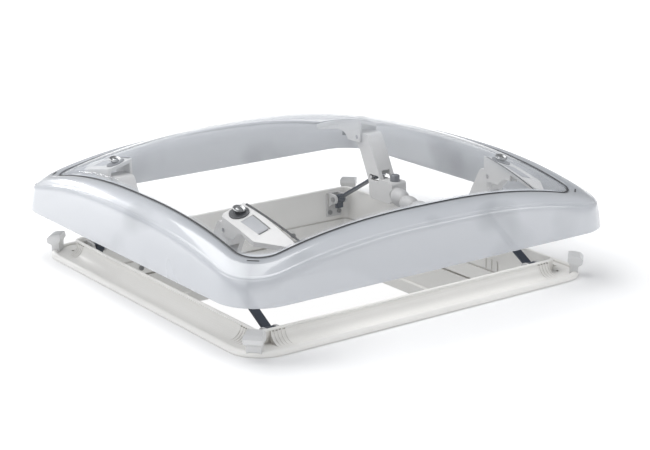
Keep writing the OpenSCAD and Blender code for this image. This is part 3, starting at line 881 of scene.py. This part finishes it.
@dataclass
class Fittings:
    """What hangs under the cover: brackets, discs and screws, arms, grips, buttons and springs."""

    shape: CoverShape
    finishes: Finishes
    body: str = "dome"
    edge: float = 0.8 * MM
    coils: float = 3.5
    wire: float = 0.45 * MM
    disc: float = 10.4 * MM
    step: float = 1.0 * MM
    tongue_half: float = 8.2 * MM
    tongue_length: float = 33 * MM
    tongue_overlap: float = 1.5 * MM
    tongue_depths: Span = (2.3 * MM, 3.9 * MM)
    grip_level: float = 11.0 * MM
    grip_end: float = 0.2 * MM
    grip_in: float = 16.0 * MM
    grip_bow: float = 12 * MM
    grip_sag: float = 16 * MM
    grip_core: float = 7.2 * MM
    grip_ridge: float = 10.8 * MM
    grip_pitch: float = 22 * MM
    squashed: float = 0.32
    washer: tuple[tuple[float, float], ...] = (
        (0.0, -3.4), (5.0, -3.4), (6.6, -0.6), (6.8, 0.1), (6.3, 0.4), (5.8, 0.2), (4.7, -1.0), (0.0, -1.1),
    )
    head: tuple[tuple[float, float], ...] = (
        (0.0, -13.0), (1.9, -13.0), (1.9, -1.2), (3.9, -0.9), (3.7, -0.2), (3.0, 0.2), (1.5, 0.3),
        (1.3, -0.4), (0.0, -0.5),
    )

    def brackets(self) -> None:
        """Rounds off each bracket and lays the grey plate in its recess."""
        for corner in Corner:
            node = "dome_bracket_" + corner.word
            piece = softened(node, "bracket_" + corner.word, self.finishes.get("stay"), self.edge)
            settle(piece, self.body, "stay_plastic", node)
            self.tongue(corner)

    def tongue(self, corner: Corner) -> None:
        """Lays the grey plate in one bracket's recess, level with its border.

        Args:
            corner: Which bracket.
        """
        low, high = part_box("dome_bracket_back_right")
        middle = (low.x + high.x) / 2
        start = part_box("bracket_pads")[1].y - self.tongue_overlap
        outline = [(middle + x, start + y) for x, y in self.plate_outline(self.tongue_half, self.tongue_length)]
        centre = (middle, start + self.tongue_length / 2)

        def sunk(x: float, y: float, depth: float) -> Point:
            """A point at a depth below the cover's inner face, in this corner."""
            return tuple(corner.place(x, y, self.shape.height(x, y) - self.shape.wall - depth))

        rings = [[sunk(x, y, depth) for x, y in outline] for depth in self.tongue_depths]
        poles = [sunk(*centre, depth) for depth in self.tongue_depths]
        piece = finished("tongue_" + corner.word, ring_mesh(rings, False, poles), self.finishes.get("tongue"), False)
        settle(piece, self.body, "post_plastic")

    @staticmethod
    def plate_outline(half: float, length: float, corner: float = 3 * MM) -> list[tuple[float, float]]:
        """Outline of a plate with rounded outer corners, from y = 0 to its length."""
        points = [(-half, 0.0), (half, 0.0)]
        for side, turn in ((1, 0.0), (-1, 90.0)):
            for step in range(6):
                a = math.radians(turn + 18 * step)
                points.append((side * (half - corner) + corner * math.cos(a), length - corner + corner * math.sin(a)))
        return points

    def arms(self) -> None:
        """Rounds off the arms."""
        for corner in Corner:
            piece = softened("arm_" + corner.word, "leg_" + corner.word, self.finishes.get("stay"), self.edge)
            settle(piece, self.body, "stay_plastic", "arm_" + corner.word)

    def grip_tree(self) -> GeometryTree:
        """Builds the tree for a sagging bar with finger ridges."""
        t = GeometryTree("finger_grip")
        start, middle, end = (t.size(n, "NodeSocketVector") for n in ("Start", "Middle", "End"))
        core, ridge, pitch = t.size("Core"), t.size("Ridge"), t.size("Pitch")
        bow = t.add("GeometryNodeCurveQuadraticBezier")
        bow.inputs["Resolution"].default_value = 150
        for source, name in ((start, "Start"), (middle, "Middle"), (end, "End")):
            t.join(source, bow.inputs[name])
        along = t.add("GeometryNodeSplineParameter").outputs["Length"]
        total = t.add("GeometryNodeCurveLength")
        t.join(bow.outputs[0], total.inputs[0])
        from_middle = t.math("SUBTRACT", along, t.math("MULTIPLY", total.outputs[0], 0.5))
        wave = t.math("ABSOLUTE", t.math("COSINE", t.math("MULTIPLY", t.math("DIVIDE", from_middle, pitch), math.pi)))
        swell = t.math("MULTIPLY", t.math("POWER", wave, 0.7), t.math("SUBTRACT", ridge, core))
        thick = t.add("GeometryNodeSetCurveRadius")
        t.join(bow.outputs[0], thick.inputs["Curve"])
        t.join(t.math("ADD", core, swell), thick.inputs["Radius"])
        section = t.add("GeometryNodeCurvePrimitiveCircle")
        section.inputs["Resolution"].default_value = 28
        section.inputs["Radius"].default_value = 1.0
        skin = t.add("GeometryNodeCurveToMesh")
        t.join(thick.outputs[0], skin.inputs["Curve"])
        t.join(section.outputs[0], skin.inputs["Profile Curve"])
        skin.inputs["Fill Caps"].default_value = True
        if "Scale" in skin.inputs:
            reach = t.add("GeometryNodeInputRadius")
            t.join(reach.outputs[0], skin.inputs["Scale"])
        t.end(skin.outputs[0])
        return t

    def grips(self) -> None:
        """Grows the two grips between the arms' feet."""
        tree = self.grip_tree()
        for side in Side:
            word = side.name.lower()
            low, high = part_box("grip_" + word)
            outer = max((low.x, high.x), key=abs)
            level, reach = high.z - self.grip_level, high.y - self.grip_end
            middle_x = outer - side.value * self.grip_in
            piece = tree.grow(
                "finger_grip_" + word, self.finishes.get("grip"),
                Start=(middle_x, -reach, level), End=(middle_x, reach, level),
                Middle=(middle_x - side.value * self.grip_bow, 0.0, level - self.grip_sag),
                Core=self.grip_core, Ridge=self.grip_ridge, Pitch=self.grip_pitch,
            )
            settle(piece, self.body, "grip_plastic", "grip_" + word)

    def coil_tree(self) -> GeometryTree:
        """Builds the tree for a wire coil that stands on a point."""
        t = GeometryTree("wire_coil")
        foot = t.size("Foot", "NodeSocketVector")
        turns, radius = t.size("Turns"), t.size("Radius")
        rise, wire = t.size("Rise"), t.size("Wire")
        coil = t.add("GeometryNodeCurveSpiral")
        coil.inputs["Resolution"].default_value = 20
        ends = ((turns, "Rotations"), (radius, "Start Radius"), (radius, "End Radius"), (rise, "Height"))
        for source, name in ends:
            t.join(source, coil.inputs[name])
        section = t.add("GeometryNodeCurvePrimitiveCircle")
        section.inputs["Resolution"].default_value = 8
        t.join(wire, section.inputs["Radius"])
        skin = t.add("GeometryNodeCurveToMesh")
        t.join(coil.outputs[0], skin.inputs["Curve"])
        t.join(section.outputs[0], skin.inputs["Profile Curve"])
        skin.inputs["Fill Caps"].default_value = True
        stood = t.add("GeometryNodeTransform")
        t.join(skin.outputs[0], stood.inputs["Geometry"])
        t.join(foot, stood.inputs["Translation"])
        t.end(stood.outputs[0])
        return t

    def springs(self) -> None:
        """Grows the springs under the buttons."""
        tree = self.coil_tree()
        for corner in Corner:
            low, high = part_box("spring_" + corner.word)
            tall = high.z - low.z
            foot = Vector(((low.x + high.x) / 2, (low.y + high.y) / 2, low.z + self.wire))
            piece = tree.grow(
                "coil_" + corner.word, self.finishes.get("spring"), Foot=foot, Turns=self.coils,
                Radius=(high.x - low.x) / 2 - self.wire, Rise=tall - 2 * self.wire, Wire=self.wire,
            )
            settle(piece, self.body, "spring_steel", "spring_" + corner.word)
            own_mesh(piece)

    def buttons(self) -> None:
        """Turns the release buttons, with a finger dish and a skirt."""
        for corner in Corner:
            low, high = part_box("button_" + corner.word)
            r, tall = (high.x - low.x) / 2, high.z - low.z
            profile = [
                (0.0, 0.0), (r - 0.6 * MM, 0.0), (r, 0.6 * MM), (r, tall * 0.55), (r - 0.3 * MM, tall * 0.6),
                (r - 0.3 * MM, tall - 1.6 * MM), (r - 0.8 * MM, tall - 0.6 * MM), (r - 1.7 * MM, tall),
                (r - 2.6 * MM, tall - 0.3 * MM), (r * 0.3, tall - 0.9 * MM), (0.0, tall - 1.0 * MM),
            ]
            bm = lathed(profile)
            bmesh.ops.translate(bm, verts=bm.verts, vec=((low.x + high.x) / 2, (low.y + high.y) / 2, low.z))
            piece = finished("knob_" + corner.word, bm, self.finishes.get("button"))
            piece.data.set_sharp_from_angle(angle=TURNED_ANGLE)
            settle(piece, "button_" + corner.word, "button_plastic", "button_" + corner.word)

    def screws(self) -> None:
        """Turns the dished washers and low screw heads over the discs, square to the cover."""
        low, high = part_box("bracket_pads")
        x, y = high.x - self.disc, high.y - self.disc
        whole = bmesh.new()
        for corner in Corner:
            px, py, _ = corner.place(x, y, 0.0)
            across = Vector((self.step, 0.0, self.shape.height(px + self.step, py) - self.shape.height(px, py)))
            along = Vector((0.0, self.step, self.shape.height(px, py + self.step) - self.shape.height(px, py)))
            turn = across.cross(along).to_track_quat("Z", "Y").to_matrix().to_4x4()
            place = Matrix.Translation((px, py, self.shape.height(px, py))) @ turn
            for profile in (self.washer, self.head):
                part = lathed([(r * MM, z * MM) for r, z in profile])
                part.transform(place)
                spare = bpy.data.meshes.new("spare")
                part.to_mesh(spare)
                part.free()
                whole.from_mesh(spare)
                bpy.data.meshes.remove(spare)
        piece = finished("cover_screws", whole, self.finishes.get("screw"))
        piece.data.set_sharp_from_angle(angle=TURNED_ANGLE)
        settle(piece, self.body, "screw_steel", "dome_screws")

    def small_parts(self) -> None:
        """Dresses what stays as the CAD has it."""
        for node, finish in (
            ("bracket_strips", "rubber"), ("bracket_pads", "rubber"), ("corner_bumpers", "rubber"),
            ("arm_pins", "pin"),
        ):
            dress(node, self.finishes.get(finish))

    def build(self) -> None:
        """Builds everything under the cover."""
        self.brackets()
        self.arms()
        self.grips()
        self.buttons()
        self.springs()
        self.screws()
        self.small_parts()


@dataclass
class FixedFrame:
    """The frame in the roof: outer frame, ceiling frame, posts, clevises and their fixings."""

    finishes: Finishes
    body: str = "frame"
    edge: float = 0.7 * MM

    def build(self) -> None:
        """Rounds the posts and clevises and dresses the rest."""
        for node, finish in (
            ("outer_frame", "frame"), ("ceiling_frame", "ceiling"), ("upstand_trim", "frame"),
            ("clevis_pins", "pin"), ("clevis_screws", "screw"), ("clamp_screws", "screw"),
        ):
            dress(node, self.finishes.get(finish))
        for corner in Corner:
            for node, name, finish in (("corner_post_", "post_", "post"), ("link_clevis_", "clevis_", "stay")):
                piece = softened(node + corner.word, name + corner.word, self.finishes.get(finish), self.edge)
                settle(piece, self.body, finish + "_plastic", node + corner.word)


@dataclass
class Links:
    """The four flat links and their elbow pins."""

    finishes: Finishes
    edge: float = 0.5 * MM

    def build(self) -> None:
        """Rounds the links and dresses the pins."""
        for corner in Corner:
            strap = softened("link_" + corner.word, "strap_" + corner.word, self.finishes.get("link"), self.edge)
            settle(strap, "link_" + corner.word, "link_paint", "link_" + corner.word)
            dress("elbow_pin_" + corner.word, self.finishes.get("pin"))


@dataclass
class Studio:
    """The pale floor with the roof opening in it, soft light, and the camera."""

    azimuth: float = -34.70
    elevation: float = 15.881
    roll: float = -0.756
    distance: float = 1.8406
    aim: float = 0.060
    lens: float = 90.6
    shift: tuple[float, float] = (0.0259, -0.0187)
    opening: float = 0.2005
    reach: float = 6.0
    floor_edge: float = -0.012
    # The floor's painted glow: where it starts, where it is full, and its strength.
    glow_from: float = 0.3
    glow_to: float = 0.95
    glow: float = 0.6
    ambient: float = 0.5

    def floor(self) -> None:
        """Lays the floor, level with the roof, with the opening cut in it and a painted glow that grows away from the
        vent.
        """
        rings = [
            [(sx * h, sy * h, z) for sx, sy in ((1, 1), (-1, 1), (-1, -1), (1, -1))]
            for h, z in ((self.opening, self.floor_edge), (self.opening, 0.0), (self.reach, 0.0))
        ]
        bm = bmesh.new()
        rows = [[bm.verts.new(p) for p in ring] for ring in rings]
        for low, high in zip(rows, rows[1:]):
            for j in range(4):
                bm.faces.new((low[j], high[j], high[(j + 1) % 4], low[(j + 1) % 4]))
        bmesh.ops.recalc_face_normals(bm, faces=bm.faces)
        material, w, shader, where = start_material("studio_floor")
        tone = w.noise(where.outputs["Object"], 3.0)
        w.join(mixed(w, tone, (0.90, 0.90, 0.905), (0.93, 0.93, 0.93)), shader.inputs["Base Color"])
        shader.inputs["Roughness"].default_value = 0.9
        shader.inputs["Specular IOR Level"].default_value = 0.1
        # Painted light: the floor glows more with distance from the vent, washing out its shading beyond the contact
        # shadow.
        away = w.add("ShaderNodeVectorMath", operation="LENGTH")
        w.join(where.outputs["Object"], away.inputs[0])
        glow = w.add("ShaderNodeMapRange", interpolation_type="SMOOTHSTEP")
        w.join(away.outputs["Value"], glow.inputs["Value"])
        glow.inputs["From Min"].default_value = self.glow_from
        glow.inputs["From Max"].default_value = self.glow_to
        glow.inputs["To Max"].default_value = self.glow
        shader.inputs["Emission Color"].default_value = (1.0, 1.0, 1.0, 1.0)
        w.join(glow.outputs["Result"], shader.inputs["Emission Strength"])
        piece = finished("floor", bm, material, False)

    def world(self) -> None:
        """Fills the surroundings with soft white."""
        world = bpy.data.worlds.new("studio")
        world.use_nodes = True
        world.node_tree.nodes.clear()
        w = Wiring(world.node_tree)
        path = w.add("ShaderNodeLightPath")
        light, seen = w.add("ShaderNodeBackground"), w.add("ShaderNodeBackground")
        light.inputs["Color"].default_value = (0.96, 0.975, 1.0, 1.0)
        light.inputs["Strength"].default_value = self.ambient
        seen.inputs["Color"].default_value = (1.0, 1.0, 1.0, 1.0)
        mix, out = w.add("ShaderNodeMixShader"), w.add("ShaderNodeOutputWorld")
        w.join(path.outputs["Is Camera Ray"], mix.inputs[0])
        w.join(light.outputs[0], mix.inputs[1])
        w.join(seen.outputs[0], mix.inputs[2])
        w.join(mix.outputs[0], out.inputs["Surface"])
        bpy.context.scene.world = world

    @staticmethod
    def lamp(name: str, place: Point, size: tuple[float, float], power: float, turn: float = 0.0) -> None:
        """Hangs a soft box that faces the vent.

        Args:
            name: The lamp's name.
            place: Where it hangs.
            size: Its width and height.
            power: Its power in watts.
            turn: How far it is turned about its own axis, in degrees.
        """
        data = bpy.data.lights.new(name, "AREA")
        data.shape = "RECTANGLE"
        data.size, data.size_y = size
        data.energy = power
        obj = bpy.data.objects.new(name, data)
        bpy.context.scene.collection.objects.link(obj)
        obj.location = place
        obj.visible_camera = False
        obj.rotation_mode = "QUATERNION"
        facing = (Vector(place) - Vector((0, 0, 0.05))).to_track_quat("Z", "Y")
        obj.rotation_quaternion = facing @ Quaternion((0, 0, 1), math.radians(turn))

    def camera(self) -> None:
        """Sets the camera at its height and bearing."""
        a, e, r = (math.radians(v) for v in (self.azimuth, self.elevation, self.roll))
        back = Vector((math.sin(a) * math.cos(e), -math.cos(a) * math.cos(e), math.sin(e)))
        right = Vector((math.cos(a), math.sin(a), 0.0))
        up = back.cross(right)
        turned_right = right * math.cos(r) + up * math.sin(r)
        turned_up = up * math.cos(r) - right * math.sin(r)
        data = bpy.data.cameras.new("camera")
        data.lens = self.lens
        data.sensor_width = 36.0
        data.shift_x, data.shift_y = self.shift
        obj = bpy.data.objects.new("camera", data)
        bpy.context.scene.collection.objects.link(obj)
        axes = Matrix((turned_right, turned_up, back)).transposed()
        place = back * self.distance + Vector((0, 0, self.aim))
        obj.matrix_world = Matrix.Translation(place) @ axes.to_4x4()
        bpy.context.scene.camera = obj

    def build(self) -> None:
        """Sets up floor, surroundings, lamps and camera."""
        self.floor()
        self.world()
        self.lamp("overhead_box", (-0.4, 0.5, 1.7), (1.5, 1.5), 30.0)
        self.lamp("left_box", (-1.9, -0.5, 0.9), (1.2, 1.0), 7.0)
        self.lamp("right_box", (1.2, -1.6, 0.8), (1.0, 0.8), 8.0)
        self.lamp("streak_box", (-0.26, 1.80, 0.795), (0.74, 0.1), 4.5, 37.0)
        self.camera()
        bpy.context.scene.view_settings.view_transform = "Standard"


def main() -> None:
    """Builds the vent and its studio."""
    logging.basicConfig(level=logging.INFO, format="%(name)s: %(message)s")
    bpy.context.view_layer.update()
    finishes = Finishes()
    shape = CoverShape()
    Studio().build()
    FixedFrame(finishes).build()
    Links(finishes).build()
    Cover(shape, finishes).build()
    Fittings(shape, finishes).build()


if __name__ == "__main__":
    main()
